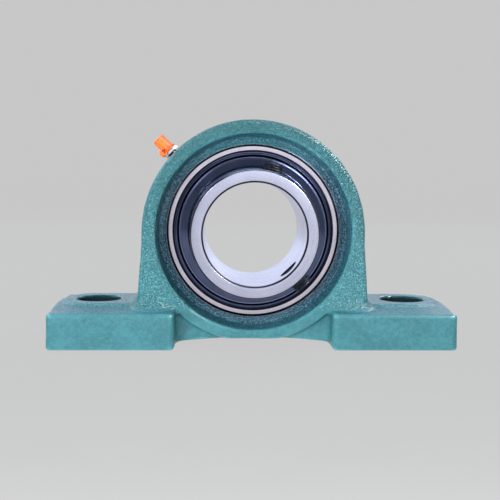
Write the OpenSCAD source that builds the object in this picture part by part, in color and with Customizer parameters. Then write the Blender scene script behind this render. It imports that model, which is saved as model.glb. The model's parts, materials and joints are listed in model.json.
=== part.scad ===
// Pillow block bearing unit for a 50 mm shaft: cast housing on two slotted feet,
// self-aligning insert bearing with set-screw locking, grease nipple with a dust cap.
// Frame: origin on the mounting surface below the shaft, +Z up, the shaft along Y,
// the long end of the inner ring towards -Y (the front).

/* [Insert bearing] */
// Bore of the inner ring, which is the shaft diameter
bore_d = 50; // [49:0.5:51]
// Outer diameter of the inner ring
inner_ring_d = 62.7; // [62:0.1:63.2]
// Inner ring length in front of the ball row
inner_front = 32.6; // [31:0.2:35]
// Inner ring length behind the ball row
inner_rear = 19; // [15:0.5:22]
// Diameter of the spherical outside of the outer ring
outer_ring_d = 90; // [89.6:0.1:90.4]
// Width of the outer ring
outer_ring_w = 20; // [19.6:0.1:20.4]
// Ball diameter
ball_d = 12.7; // [12.4:0.1:12.7]
// Radius of the circle through the ball centres
pitch_r = 35; // [34.9:0.05:35.1]
// Number of balls
ball_count = 10; // [8:1:10]

/* [Set screws] */
// Thread diameter of a set screw
screw_d = 10; // [8:1:10]
// Length of a set screw
screw_len = 10; // [8:1:12]
// Distance from the front face of the inner ring to the screws
screw_inset = 10; // [9:0.5:11]
// How far the screw points stand back from the bore
screw_back = 0.6; // [0.2:0.1:1]
// Direction of the upper screw, counter-clockwise from +X seen from the front
screw_angle = 74; // [0:1:180]

/* [Housing] */
// Height of the shaft centre above the mounting surface
centre_h = 57.2; // [57:0.1:58]
// Overall length of the base
base_len = 203; // [200:1:212]
// Width of the base
base_w = 60; // [58:1:64]
// Distance between the two bolt slots
bolt_pitch = 159; // [156:1:162]
// Length of a bolt slot
slot_len = 23; // [21:1:25]
// Width of a bolt slot
slot_w = 20; // [18:1:20]
// Height of the feet at their edges
foot_h = 18; // [16:0.5:19]
// Height of the flat pads round the bolt slots
pad_h = 21; // [20:0.5:22]
// Width of the open arch between the feet
arch_w = 77.2; // [74:1:80]
// Radius of the round top of the housing
dome_r = 56.8; // [56.5:0.1:57.5]
// Depth of the housing along the shaft
housing_w = 43; // [42:0.5:45]

/* [Grease nipple] */
// Direction of the nipple, counter-clockwise from +X seen from the front
nipple_angle = 136.6; // [100:0.2:145]
// Thread diameter of the nipple
nipple_d = 6; // [5:0.5:6]
// Size across the flats of its hexagon
nipple_hex = 7; // [6.5:0.1:8]

/* [Hidden] */
$fn = 96;
EPS = 0.01;
running_gap = 0.03;
touch_gap = 0.01;

// Insert bearing
bore_r = bore_d / 2;
inner_r = inner_ring_d / 2;
outer_r = outer_ring_d / 2;
ball_r = ball_d / 2;
ring_half = outer_ring_w / 2;
race_r = 0.52 * ball_d;
outer_land_r = pitch_r + 3.9;
inner_race_c = pitch_r - ball_r + race_r - touch_gap;
outer_race_c = pitch_r + ball_r - race_r + touch_gap;
bore_chamfer = 0.9;
ring_chamfer = 0.9;
face_r = 42.75;
edge_drop = 0.9;
grease_hole_r = 1;
grease_hole_y = 1.4;
grease_hole_tilt = 42;
grease_hole_angles = [60, 240];

// Seals and flingers, as distances from the ball row
seal_seat_r = 40.2;
seal_seat_y = 7.6;
seal_y = 7.65;
seal_t = 0.7;
seal_rim_r = 38;
seal_rim_y = 9.5;
seal_core_in_r = 33.2;
lip_gap = 0.05;
flinger_r = 37.8;
flinger_y = 8.7;
flinger_t = 0.8;
flinger_rise = 0.45;
collar_y = 11.9;

// Cage
cage_in_r = 32.3;
cage_out_r = 37.7;
cage_t = 0.75;
pocket_gap = 0.1;
rivet_r = 0.8;
rivet_head_r = 1.5;
rivet_head_t = 0.7;
ball_start = 18;

// Stop pin of the outer ring
pin_r = 1.5;
pin_in_r = 42.2;
pin_out_r = 47.6;
pin_slot_r = 48.2;
pin_slot_half = 2;
pin_slot_front = 5;

// Set screws
screw_r = screw_d / 2;
screw_y = inner_front - screw_inset;
screw_in_r = bore_r + screw_back;
socket_af = screw_r;
socket_depth = 4.5;
screw_chamfer = 0.8;
cup_r = 0.55 * screw_r;
cup_depth = 1.2;

// Housing
front_y = housing_w / 2;
seat_r = outer_r + running_gap;
seat_half = 12;
recess_floor_r = 47.5;
recess_mouth_r = 49;
boss_r = 54.4;
web_y = 18;
web_top = 19.5;
arch_mid_h = 4;
arch_end_h = 1.6;
side_top_x = 56.5;
side_low_x = 58.8;
side_low_z = 28;
side_foot_x = 62;
foot_x = arch_w / 2;
foot_corner_r = 3;
foot_inner_r = 3;
pad_r = 16.6;
pad_foot_r = 17.4;
skirt_h = 19.8;
skirt_r = 28;
shelf_top_z = 24;
pad_root_x = 55;
fillet_r = 4;
groove_half = 3.5;
groove_r = 46.2;
loading_gap = 0.15;

// Grease nipple, as distances from the shaft centre
spot_r = 56.3;
spot_face_r = 5;
thread_in_r = 49.6;
hex_low_r = 57;
hex_top_r = 58.9;
neck_r = 2.3;
head_r = 2.7;
head_low_r = 60.4;
head_mid_r = 62.3;
head_tip_r = 64.2;
tip_face_r = 1.5;
duct_r = 1.1;
spring_seat_r = 56.5;
inlet_r = 0.6;
valve_ball_r = 0.95;
valve_r = 62.7;
spring_wire = 0.3;
spring_mean_r = 0.75;
spring_turns = 5;
spring_steps = 12;
spring_sides = 6;

// Dust cap and its strap
cap_low_r = 59.6;
cap_top_r = 67.3;
cap_r = 3.35;
cap_rim_r = 3.95;
cap_rim_h = 0.8;
cap_bore_r = 2.8;
cap_roof = 1;
strap_ring_low = 58.93;
strap_ring_top = 59.53;
strap_ring_r = 3.75;
strap_c = [6.1, 60.1];
strap_bend_r = 1.75;
strap_t = 1;
strap_w = 1.9;
strap_ends = [208, 142];
strap_turn = 150;

BALLS = [for (i = [1 : ball_count]) str("ball_", i < 10 ? "0" : "", i)];

// Places children with +X right, +Y up and +Z towards the front, from the bearing centre.
module in_bearing() {
    translate([0, 0, centre_h])
        rotate([90, 0, 0])
            children();
}

// Places children with +Z pointing away from the shaft in the given direction.
module along_radius(angle, front = 0) {
    in_bearing()
        rotate([0, 0, angle])
            translate([0, 0, front])
                rotate([0, 90, 0])
                    children();
}

// Turned shape from a half profile of [radius, distance in front of the ball row].
module turned() {
    in_bearing()
        rotate_extrude()
            children();
}

// Turns a front half profile over for the rear.
module front_or_rear(side) {
    mirror([0, side == "rear" ? 1 : 0])
        children();
}

module corner_cut(leg) {
    polygon([[-EPS, -EPS], [leg, -EPS], [-EPS, leg]]);
}

// ---- Housing ----

module rounded_plan(x0, x1, half_y, r0, r1) {
    translate([x0, -half_y + r0])
        square([r0, 2 * (half_y - r0)]);
    translate([x0 + r0, -half_y])
        square([x1 - x0 - r0 - r1, 2 * half_y]);
    translate([x1 - r1 - EPS, -half_y + r1])
        square([r1 + EPS, 2 * (half_y - r1)]);
    for (s = [-1, 1]) {
        translate([x0 + r0, s * (half_y - r0)])
            circle(r = r0);
        translate([x1 - r1, s * (half_y - r1)])
            circle(r = r1);
    }
}

// Flat pad with a round end beyond one bolt slot, on a skirt that slopes to the edges of the foot.
module pad_profile() {
    polygon([[-EPS, foot_h - 1], [skirt_r, foot_h - 1], [skirt_r, foot_h], [pad_foot_r, skirt_h],
             [pad_r, pad_h], [-EPS, pad_h]]);
}

module bolt_pad() {
    end_x = (bolt_pitch + slot_len - slot_w) / 2;
    translate([end_x, 0, 0])
        rotate_extrude()
            intersection() {
                pad_profile();
                square([skirt_r, pad_h + 1]);
            }
    for (s = [0, 1])
        mirror([0, s, 0])
            translate([pad_root_x, 0, 0])
                rotate([90, 0, 90])
                    linear_extrude(end_x - pad_root_x)
                        pad_profile();
}

module foot_plan() {
    rounded_plan(foot_x, base_len / 2, base_w / 2, foot_inner_r, foot_corner_r);
}

module foot() {
    linear_extrude(foot_h)
        foot_plan();
    intersection() {
        bolt_pad();
        linear_extrude(pad_h + 1)
            foot_plan();
    }
    // Sloped shelf from the housing face down to the edge of the foot
    for (s = [0, 1])
        mirror([0, s, 0])
            translate([foot_x + foot_inner_r, 0, 0])
                rotate([90, 0, 90])
                    linear_extrude(side_low_x - foot_x - foot_inner_r)
                        polygon([[front_y - 2, foot_h - 1], [base_w / 2 - 1.5, foot_h - 1],
                                 [base_w / 2 - 1.5, foot_h], [front_y, shelf_top_z],
                                 [front_y - 2, shelf_top_z]]);
}

module body_outline() {
    translate([0, centre_h])
        circle(r = dome_r);
    difference() {
        polygon([[-side_top_x, centre_h], [-side_low_x, side_low_z],
                 [-side_low_x - fillet_r, pad_h - 1], [-side_foot_x - fillet_r, 2],
                 [side_foot_x + fillet_r, 2], [side_low_x + fillet_r, pad_h - 1],
                 [side_low_x, side_low_z], [side_top_x, centre_h]]);
        for (s = [-1, 1])
            translate([s * (side_low_x + fillet_r + 0.6), pad_h + fillet_r])
                circle(r = fillet_r);
    }
}

module arch_cut() {
    rise = arch_mid_h - arch_end_h;
    arch_r = (foot_x * foot_x + rise * rise) / (2 * rise);
    intersection() {
        translate([0, 0, arch_mid_h - arch_r])
            rotate([90, 0, 0])
                cylinder(h = base_w + 2, r = arch_r, center = true, $fn = 240);
        translate([-foot_x, -base_w / 2 - 1, -1])
            cube([2 * foot_x, base_w + 2, arch_mid_h + 2]);
    }
}

// Pocket under the ring boss that leaves a thinner web between the feet.
module web_pocket() {
    difference() {
        translate([-foot_x - EPS, web_y, -1])
            cube([2 * foot_x + 2 * EPS, front_y, web_top + 1]);
        translate([0, 0, centre_h])
            rotate([90, 0, 0])
                cylinder(h = 3 * base_w, r = boss_r, center = true);
    }
}

module seat_and_recesses() {
    turned()
        intersection() {
            circle(r = seat_r);
            translate([0, -seat_half - EPS])
                square([seat_r + 1, 2 * (seat_half + EPS)]);
        }
    for (side = ["front", "rear"])
        turned()
            front_or_rear(side)
                polygon([[0, seat_half], [recess_floor_r - 1, seat_half],
                         [recess_floor_r, seat_half + 1], [recess_mouth_r - 0.6, front_y - 0.8],
                         [recess_mouth_r + 0.4, front_y + EPS], [0, front_y + EPS]]);
    turned()
        translate([seat_r - 2, -groove_half])
            square([groove_r - seat_r + 2, 2 * groove_half]);
}

// Slots at the rear through which the bearing enters edge-on before it is turned square.
module loading_slots() {
    translate([0, 0, centre_h])
        rotate([-90, 0, 0])
            intersection() {
                cylinder(h = seat_half + 1, r = outer_r + loading_gap);
                translate([-outer_r - 1, -ring_half - 2 * loading_gap, 0])
                    cube([outer_ring_d + 2, outer_ring_w + 4 * loading_gap, seat_half + 1]);
            }
    translate([seat_r - 2, -pin_slot_front, centre_h - pin_slot_half])
        cube([pin_slot_r - seat_r + 2, pin_slot_front + seat_half + 1, 2 * pin_slot_half]);
}

module bolt_slot() {
    reach = (slot_len - slot_w) / 2;
    translate([bolt_pitch / 2, 0, -1]) {
        for (s = [-1, 1])
            translate([s * reach, 0, 0])
                cylinder(h = pad_h + 3, r = slot_w / 2);
        translate([-reach, -slot_w / 2, 0])
            cube([2 * reach, slot_w, pad_h + 3]);
    }
}

module housing() {
    color([0.30, 0.53, 0.52])
        difference() {
            union() {
                rotate([90, 0, 0])
                    linear_extrude(housing_w, center = true)
                        body_outline();
                for (s = [0, 1])
                    mirror([s, 0, 0])
                        foot();
            }
            arch_cut();
            for (s = [0, 1]) {
                mirror([0, s, 0])
                    web_pocket();
                mirror([s, 0, 0])
                    bolt_slot();
            }
            seat_and_recesses();
            loading_slots();
            along_radius(nipple_angle) {
                cylinder(h = dome_r + 5, r = nipple_d / 2 + 2 * touch_gap);
                translate([0, 0, spot_r])
                    cylinder(h = 5, r = spot_face_r);
            }
        }
}

// ---- Rings, balls and cage ----

module stop_pin() {
    color([0.55, 0.56, 0.58])
        along_radius(0)
            translate([0, 0, pin_in_r])
                cylinder(h = pin_out_r - pin_in_r, r = pin_r);
}

module outer_ring_profile() {
    edge_r = sqrt(outer_r * outer_r - ring_half * ring_half);
    difference() {
        intersection() {
            circle(r = outer_r);
            translate([outer_land_r, -ring_half])
                square([outer_r, outer_ring_w]);
        }
        translate([outer_race_c, 0])
            circle(r = race_r);
        for (side = ["front", "rear"])
            front_or_rear(side) {
                translate([outer_land_r - 1, seal_seat_y])
                    square([seal_seat_r - outer_land_r + 1, ring_half]);
                polygon([[face_r, ring_half + EPS], [edge_r + 1, ring_half + EPS],
                         [edge_r + 1, ring_half - edge_drop], [edge_r + 0.25, ring_half - edge_drop]]);
                translate([seal_seat_r, ring_half])
                    mirror([0, 1, 0])
                        corner_cut(0.6);
            }
    }
}

module outer_ring() {
    color([0.80, 0.79, 0.84])
        difference() {
            turned()
                outer_ring_profile();
            for (i = [0, 1])
                in_bearing()
                    rotate([0, 0, grease_hole_angles[i]])
                        mirror([0, 0, i])
                            translate([outer_r, 0, grease_hole_y])
                                rotate([0, grease_hole_tilt - 90, 0])
                                    translate([0, 0, -3])
                                        cylinder(h = 14, r = grease_hole_r);
            along_radius(0)
                translate([0, 0, pin_in_r - touch_gap])
                    cylinder(h = outer_r, r = pin_r + touch_gap);
        }
}

module inner_ring_profile() {
    wall = inner_r - bore_r;
    difference() {
        translate([bore_r, -inner_rear])
            square([wall, inner_rear + inner_front]);
        translate([inner_race_c, 0])
            circle(r = race_r);
        for (end = [-inner_rear, inner_front])
            translate([0, end])
                mirror([0, end > 0 ? 1 : 0]) {
                    translate([bore_r, 0])
                        corner_cut(bore_chamfer);
                    translate([inner_r, 0])
                        mirror([1, 0])
                            corner_cut(ring_chamfer);
                }
    }
}

module inner_ring() {
    color([0.82, 0.81, 0.88])
        difference() {
            turned()
                inner_ring_profile();
            for (a = [screw_angle, screw_angle - 120])
                along_radius(a, screw_y)
                    translate([0, 0, bore_r - 2])
                        cylinder(h = inner_r - bore_r + 4, r = screw_r);
        }
}

module ball(i) {
    color([0.86, 0.87, 0.89])
        in_bearing()
            rotate([0, 0, ball_start + (i - 1) * 360 / ball_count])
                translate([pitch_r, 0, 0])
                    sphere(r = ball_r);
}

module cage_band(height) {
    rotate_extrude()
        translate([cage_in_r, touch_gap / 2])
            square([cage_out_r - cage_in_r, height]);
}

module cage_half(side) {
    pocket_r = ball_r + pocket_gap;
    color([0.62, 0.60, 0.52])
        in_bearing()
            mirror([0, 0, side == "rear" ? 1 : 0])
                difference() {
                    union() {
                        cage_band(cage_t);
                        intersection() {
                            cage_band(pocket_r + cage_t);
                            for (i = [1 : ball_count])
                                rotate([0, 0, ball_start + (i - 1) * 360 / ball_count])
                                    translate([pitch_r, 0, 0])
                                        sphere(r = pocket_r + cage_t);
                        }
                    }
                    for (i = [1 : ball_count])
                        rotate([0, 0, ball_start + (i - 1) * 360 / ball_count]) {
                            translate([pitch_r, 0, 0])
                                sphere(r = pocket_r);
                            rotate([0, 0, 180 / ball_count])
                                translate([pitch_r, 0, -1])
                                    cylinder(h = 3, r = rivet_r + touch_gap);
                        }
                }
}

module cage_rivets() {
    grip = cage_t + touch_gap;
    color([0.70, 0.69, 0.66])
        in_bearing()
            for (i = [1 : ball_count])
                rotate([0, 0, ball_start + (i - 0.5) * 360 / ball_count])
                    translate([pitch_r, 0, 0])
                        rotate_extrude()
                            polygon([[0, -grip - rivet_head_t], [rivet_head_r * 0.6, -grip - rivet_head_t],
                                     [rivet_head_r, -grip], [rivet_r, -grip],
                                     [rivet_r, grip], [rivet_head_r, grip],
                                     [rivet_head_r * 0.6, grip + rivet_head_t], [0, grip + rivet_head_t]]);
}

// ---- Seals and flingers ----

module seal_core(side) {
    rim_out = seal_seat_r - running_gap;
    color([0.20, 0.22, 0.32])
        turned()
            front_or_rear(side)
                polygon([[seal_core_in_r, seal_y], [rim_out, seal_y], [rim_out, seal_rim_y - 0.3],
                         [rim_out - 0.3, seal_rim_y], [seal_rim_r + 0.3, seal_rim_y],
                         [seal_rim_r, seal_rim_y - 0.3], [seal_rim_r, seal_y + seal_t],
                         [seal_core_in_r, seal_y + seal_t]]);
}

module seal_lip(side) {
    lip_r = inner_r + lip_gap;
    root_r = seal_core_in_r - touch_gap;
    color([0.09, 0.09, 0.10])
        turned()
            front_or_rear(side)
                polygon([[lip_r, seal_y + 0.3], [lip_r + 0.35, seal_y], [root_r, seal_y],
                         [root_r, seal_y + seal_t], [lip_r + 0.9, seal_y + seal_t],
                         [lip_r, seal_y + 0.6]]);
}

module flinger(side) {
    grip_r = inner_r + touch_gap;
    color([0.15, 0.17, 0.30])
        turned()
            front_or_rear(side)
                polygon([[grip_r, flinger_y], [flinger_r - 1, flinger_y],
                         [flinger_r, flinger_y + flinger_rise], [flinger_r, flinger_y + flinger_rise + 0.5],
                         [flinger_r - 0.6, flinger_y + flinger_t + flinger_rise],
                         [flinger_r - 1.4, flinger_y + flinger_t],
                         [grip_r + flinger_t + 0.7, flinger_y + flinger_t],
                         [grip_r + flinger_t, flinger_y + flinger_t + 0.7],
                         [grip_r + flinger_t, collar_y], [grip_r, collar_y]]);
}

// ---- Set screws ----

module set_screw(angle) {
    top = screw_in_r + screw_len;
    body_r = screw_r - running_gap;
    color([0.13, 0.13, 0.15])
        along_radius(angle, screw_y)
            difference() {
                rotate_extrude()
                    polygon([[0, screw_in_r + cup_depth], [cup_r, screw_in_r],
                             [cup_r + 0.5, screw_in_r], [body_r, screw_in_r + 1.6],
                             [body_r, top - screw_chamfer], [body_r - screw_chamfer, top], [0, top]]);
                translate([0, 0, top - socket_depth])
                    cylinder(h = socket_depth + 1, r = socket_af / sqrt(3), $fn = 6);
            }
}

// ---- Grease nipple ----

module nipple_body() {
    thread_r = nipple_d / 2;
    color([0.80, 0.82, 0.84])
        along_radius(nipple_angle) {
            rotate_extrude()
                difference() {
                    polygon([[0, thread_in_r], [thread_r - 0.6, thread_in_r], [thread_r, thread_in_r + 0.6],
                             [thread_r, hex_low_r + 0.2], [neck_r, hex_top_r - 0.1], [neck_r, head_low_r - 0.4],
                             [head_r, head_low_r], [head_r, head_mid_r], [tip_face_r, head_tip_r],
                             [0, head_tip_r]]);
                    polygon([[0, thread_in_r - 1], [0.7, thread_in_r - 1], [0.7, spring_seat_r],
                             [duct_r, spring_seat_r], [duct_r, valve_r + 0.2],
                             [inlet_r, valve_r + 0.9], [inlet_r, head_tip_r + 1], [0, head_tip_r + 1]]);
                }
            difference() {
                intersection() {
                    translate([0, 0, hex_low_r])
                        cylinder(h = hex_top_r - hex_low_r, r = nipple_hex / sqrt(3), $fn = 6);
                    translate([0, 0, hex_low_r - 3])
                        cylinder(h = hex_top_r - hex_low_r + 3, r1 = nipple_hex + 0.7, r2 = nipple_hex / 2);
                }
                translate([0, 0, hex_low_r - 1])
                    cylinder(h = 5, r = (thread_r + duct_r) / 2);
            }
        }
}

module nipple_valve_ball() {
    color([0.86, 0.87, 0.89])
        along_radius(nipple_angle)
            translate([0, 0, valve_r])
                sphere(r = valve_ball_r);
}

// Coil spring as one swept tube that stands between its seat and the valve ball.
module nipple_spring() {
    low = spring_seat_r + spring_wire / 2 + 0.05;
    high = valve_r - valve_ball_r * 0.75;
    rings = spring_turns * spring_steps;
    points = [
        for (i = [0 : rings])
            let (a = i * 360 / spring_steps, z = low + (high - low) * i / rings)
                for (j = [0 : spring_sides - 1])
                    let (b = j * 360 / spring_sides, r = spring_mean_r + spring_wire / 2 * cos(b))
                        [r * cos(a), r * sin(a), z + spring_wire / 2 * sin(b)]
    ];
    walls = [
        for (i = [0 : rings - 1])
            for (j = [0 : spring_sides - 1])
                let (k = (j + 1) % spring_sides, m = i * spring_sides, n = m + spring_sides)
                    each [[m + j, n + j, n + k], [m + j, n + k, m + k]]
    ];
    ends = [
        for (j = [1 : spring_sides - 2])
            let (m = rings * spring_sides)
                each [[0, j, j + 1], [m, m + j + 1, m + j]]
    ];
    color([0.66, 0.68, 0.70])
        along_radius(nipple_angle)
            polyhedron(points = points, faces = concat(walls, ends));
}

module nipple_cap() {
    color([0.98, 0.45, 0.13])
        along_radius(nipple_angle)
            rotate_extrude()
                polygon([[cap_bore_r, cap_low_r], [cap_rim_r, cap_low_r],
                         [cap_rim_r, cap_low_r + 0.5], [cap_r, cap_low_r + cap_rim_h],
                         [cap_r - 0.05, cap_top_r - 0.4], [cap_r - 0.4, cap_top_r], [0, cap_top_r],
                         [0, cap_top_r - cap_roof], [cap_bore_r, cap_top_r - cap_roof]]);
}

// Moulded strap: a ring round the nipple neck and a band that bends back to the cap's side.
module cap_strap() {
    root_x = strap_c[0] + strap_bend_r * cos(strap_ends[0]);
    tab_x = strap_c[0] + strap_bend_r * cos(strap_ends[1]);
    tab_z = strap_c[1] + strap_bend_r * sin(strap_ends[1]);
    color([0.98, 0.45, 0.13])
        along_radius(nipple_angle) {
            translate([0, 0, strap_ring_low])
                difference() {
                    cylinder(h = strap_ring_top - strap_ring_low, r = strap_ring_r);
                    translate([0, 0, -1])
                        cylinder(h = 3, r = neck_r + 0.05);
                }
            rotate([0, 0, strap_turn]) {
                translate([neck_r + 1, -strap_w / 2, strap_ring_low])
                    cube([root_x - neck_r - 0.8, strap_w, strap_ring_top - strap_ring_low]);
                translate([cap_r + touch_gap, -strap_w / 2, tab_z - strap_t / 3])
                    cube([tab_x - cap_r, strap_w, strap_t * 2 / 3]);
                translate([strap_c[0], 0, strap_c[1]])
                    rotate([90, 0, 0])
                        rotate([0, 0, strap_ends[0]])
                            rotate_extrude(angle = 360 + strap_ends[1] - strap_ends[0])
                                translate([strap_bend_r - strap_t / 2, -strap_w / 2])
                                    square([strap_t, strap_w]);
            }
        }
}

housing();
stop_pin();
outer_ring();
inner_ring();
for (i = [1 : ball_count])
    ball(i);
cage_half("front");  // cage_front_half
cage_half("rear");  // cage_rear_half
cage_rivets();
seal_core("front");  // seal_core_front
seal_core("rear");  // seal_core_rear
seal_lip("front");  // seal_lip_front
seal_lip("rear");  // seal_lip_rear
flinger("front");  // flinger_front
flinger("rear");  // flinger_rear
set_screw(screw_angle);  // set_screw_upper
set_screw(screw_angle - 120);  // set_screw_lower
nipple_body();
nipple_valve_ball();
nipple_spring();
nipple_cap();
cap_strap();
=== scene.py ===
"""Looks of a pillow block bearing unit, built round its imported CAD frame.

Lengths are millimetres until they become mesh points, which are metres. The shaft runs along Y,
and "front" distances count from the ball row towards -Y.
"""
import json
import math

import bpy
import numpy as np
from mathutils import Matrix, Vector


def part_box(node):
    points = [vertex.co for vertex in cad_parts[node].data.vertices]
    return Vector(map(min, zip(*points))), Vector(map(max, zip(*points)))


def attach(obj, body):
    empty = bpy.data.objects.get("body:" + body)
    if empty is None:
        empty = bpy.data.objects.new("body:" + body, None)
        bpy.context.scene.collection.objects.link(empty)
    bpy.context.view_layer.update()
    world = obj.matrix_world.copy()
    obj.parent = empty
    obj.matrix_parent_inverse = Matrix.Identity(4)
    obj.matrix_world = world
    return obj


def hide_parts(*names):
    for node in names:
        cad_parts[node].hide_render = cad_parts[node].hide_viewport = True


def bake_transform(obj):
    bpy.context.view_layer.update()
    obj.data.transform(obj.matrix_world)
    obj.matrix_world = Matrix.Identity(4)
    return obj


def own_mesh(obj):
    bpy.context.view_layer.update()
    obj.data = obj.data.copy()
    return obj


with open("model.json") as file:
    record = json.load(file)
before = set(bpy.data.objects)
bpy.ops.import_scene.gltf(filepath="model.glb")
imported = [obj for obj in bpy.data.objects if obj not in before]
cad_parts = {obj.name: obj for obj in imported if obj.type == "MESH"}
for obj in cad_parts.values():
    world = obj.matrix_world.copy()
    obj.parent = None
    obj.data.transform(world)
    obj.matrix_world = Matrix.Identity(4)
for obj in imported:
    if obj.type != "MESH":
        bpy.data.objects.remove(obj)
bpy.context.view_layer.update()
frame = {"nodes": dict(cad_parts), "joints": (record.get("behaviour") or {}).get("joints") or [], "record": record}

import openvdb
from mathutils import Matrix, Vector

MM = 0.001
TAU = 2 * math.pi
joints = {j["name"]: j for j in frame["joints"]}
mounts = {m["name"]: m for m in frame["record"]["mounts"]}


def box_mm(node):
    """Lowest and highest corner of a CAD node, in mm."""
    low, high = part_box(node)
    return np.array(low) / MM, np.array(high) / MM


# ---- Sizes that the frame gives ----

CENTRE_H = mounts["shaft_bore"]["pos_m"][2] / MM
BORE_R = mounts["shaft_bore"]["dims"]["r_mm"]
BOLTS = mounts["base_bolts"]["dims"]
BASE_HALF, FOOT_HALF_W, DOME_TOP = box_mm("housing")[1]
DOME_R = DOME_TOP - CENTRE_H
INNER_FRONT = -box_mm("inner_ring")[0][1]
INNER_REAR = box_mm("inner_ring")[1][1]
INNER_R = round(box_mm("inner_ring")[1][0], 2)
RING_HALF = box_mm("outer_ring")[1][1]
OUTER_R = round(box_mm("outer_ring")[1][2] - CENTRE_H, 1)
NIPPLE_AXIS = Vector(mounts["grease_fitting"]["axis"])
SCREW_NAMES = ("set_screw_upper", "set_screw_lower")
SCREW_AXES = {name: -Vector(joints[name + "_travel"]["axis"]) for name in SCREW_NAMES}
SCREW_FRONT = -(box_mm("set_screw_upper")[0][1] + box_mm("set_screw_upper")[1][1]) / 2


# ---- Mesh helpers ----

STRAIGHT = math.radians(89)
FILLET_SHARE = 0.48
AXIS_R = 0.02


def new_object(name, points, faces, crease=30):
    """Mesh object from points in metres, with outward faces and smooth shading up to a crease angle."""
    points = np.asarray(points, float)
    faces = [tuple(int(i) for i in f) for f in faces]
    volume = 0.0
    for f in faces:
        a = points[f[0]]
        for i in range(1, len(f) - 1):
            volume += float(np.dot(a, np.cross(points[f[i]], points[f[i + 1]])))
    if volume < 0:
        faces = [f[::-1] for f in faces]
    mesh = bpy.data.meshes.new(name)
    mesh.from_pydata(points.tolist(), [], faces)
    mesh.validate()
    mesh.shade_smooth()
    mesh.set_sharp_from_angle(angle=math.radians(crease))
    obj = bpy.data.objects.new(name, mesh)
    bpy.context.scene.collection.objects.link(obj)
    return obj


def skin(name, rows, place, closed=True, crease=30):
    """Surface through rows of points, each row a ring of the same length.

    rows has the shape (rows, ring, 3) in mm. A closed skin joins its last row to its first,
    and an open one ends in a fan at each end.
    """
    rows = np.asarray(rows, float)
    count, ring = rows.shape[:2]
    points = [place @ Vector(p) * MM for p in rows.reshape(-1, 3)]
    faces = []
    for i in range(count if closed else count - 1):
        k = (i + 1) % count
        for j in range(ring):
            n = (j + 1) % ring
            faces.append((i * ring + j, i * ring + n, k * ring + n, k * ring + j))
    if not closed:
        faces.append(tuple(range(ring)))
        faces.append(tuple(range((count - 1) * ring, count * ring))[::-1])
    return new_object(name, points, faces, crease)


def rounded(corners, steps=4):
    """Closed outline from (x, y, fillet radius) corners, with each fillet as an arc.

    A fillet takes at most FILLET_SHARE of each side, and a corner that is nearly straight gets none.
    """
    outline = []
    count = len(corners)
    for i, (x, y, radius) in enumerate(corners):
        here = np.array([x, y], float)
        if radius <= 0:
            outline.append(here)
            continue
        before = np.array(corners[i - 1][:2], float) - here
        after = np.array(corners[(i + 1) % count][:2], float) - here
        reach_before, reach_after = np.linalg.norm(before), np.linalg.norm(after)
        before, after = before / reach_before, after / reach_after
        half = math.acos(max(-1.0, min(1.0, float(before @ after)))) / 2
        if half > STRAIGHT:
            outline.append(here)
            continue
        tangent = min(radius / math.tan(half), FILLET_SHARE * reach_before, FILLET_SHARE * reach_after)
        radius = tangent * math.tan(half)
        centre = here + (before + after) / np.linalg.norm(before + after) * radius / math.sin(half)
        start, end = here + before * tangent - centre, here + after * tangent - centre
        a0 = math.atan2(start[1], start[0])
        turn = (math.atan2(end[1], end[0]) - a0 + math.pi) % TAU - math.pi
        for s in range(steps + 1):
            a = a0 + turn * s / steps
            outline.append(centre + radius * np.array([math.cos(a), math.sin(a)]))
    return np.array(outline)


def arc(centre, radius, start, end, steps):
    """Points along an arc, angles in degrees."""
    angles = np.radians(np.linspace(start, end, steps + 1))
    return [(centre[0] + radius * math.cos(a), centre[1] + radius * math.sin(a), 0) for a in angles]


SHAFT = Matrix.Translation((0, 0, CENTRE_H)) @ Matrix.Rotation(math.radians(90), 4, "X")


def along(axis, front=0.0):
    """Placement with +Z pointing away from the shaft along axis, and +Y turned towards the side."""
    z = axis.normalized()
    x = Vector((0, 1, 0))
    y = z.cross(x)
    turn = Matrix((x, y, z)).transposed().to_4x4()
    return Matrix.Translation((0, -front, CENTRE_H)) @ turn


def lathe(name, outline, place=SHAFT, segments=288, closed=True, crease=30):
    """Turned solid from an outline of (radius, distance along +Z). An open one has flat ends."""
    angles = np.linspace(0, TAU, segments, endpoint=False)
    r, h = np.asarray(outline, float)[:, :2].T
    rows = np.stack([r[:, None] * np.cos(angles), r[:, None] * np.sin(angles),
                     np.repeat(h[:, None], segments, 1)], 2)
    return skin(name, rows, place, closed, crease)


def drill(obj, *cutters):
    """Cuts the cutters out of obj for good."""
    for cutter in cutters:
        bpy.context.view_layer.objects.active = obj
        cut = obj.modifiers.new("cut", "BOOLEAN")
        cut.operation = "DIFFERENCE"
        cut.solver = "EXACT"
        cut.object = cutter
        bpy.context.view_layer.update()
        done = bpy.data.meshes.new_from_object(obj.evaluated_get(bpy.context.evaluated_depsgraph_get()))
        obj.modifiers.clear()
        obj.data = done
        bpy.data.objects.remove(cutter)
    obj.data.shade_smooth()
    obj.data.set_sharp_from_angle(angle=math.radians(30))
    return obj


def mirror_front(outline):
    """The same outline on the other side of the ball row."""
    return [(r, -h, *rest) for r, h, *rest in outline]


# ---- Solid modelling by distance fields, for the casting ----

def join(a, b, r):
    """Union of two fields with a round fillet of radius r."""
    u = np.maximum(r - a, 0)
    v = np.maximum(r - b, 0)
    return np.maximum(r, np.minimum(a, b)) - np.hypot(u, v)


def meet(a, b, r):
    """Intersection of two fields with a rounded edge of radius r."""
    u = np.maximum(r + a, 0)
    v = np.maximum(r + b, 0)
    return np.minimum(-r, np.maximum(a, b)) + np.hypot(u, v)


def cut(a, b, r):
    """Field a without field b, with a rounded edge of radius r."""
    return meet(a, -b, r)


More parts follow.
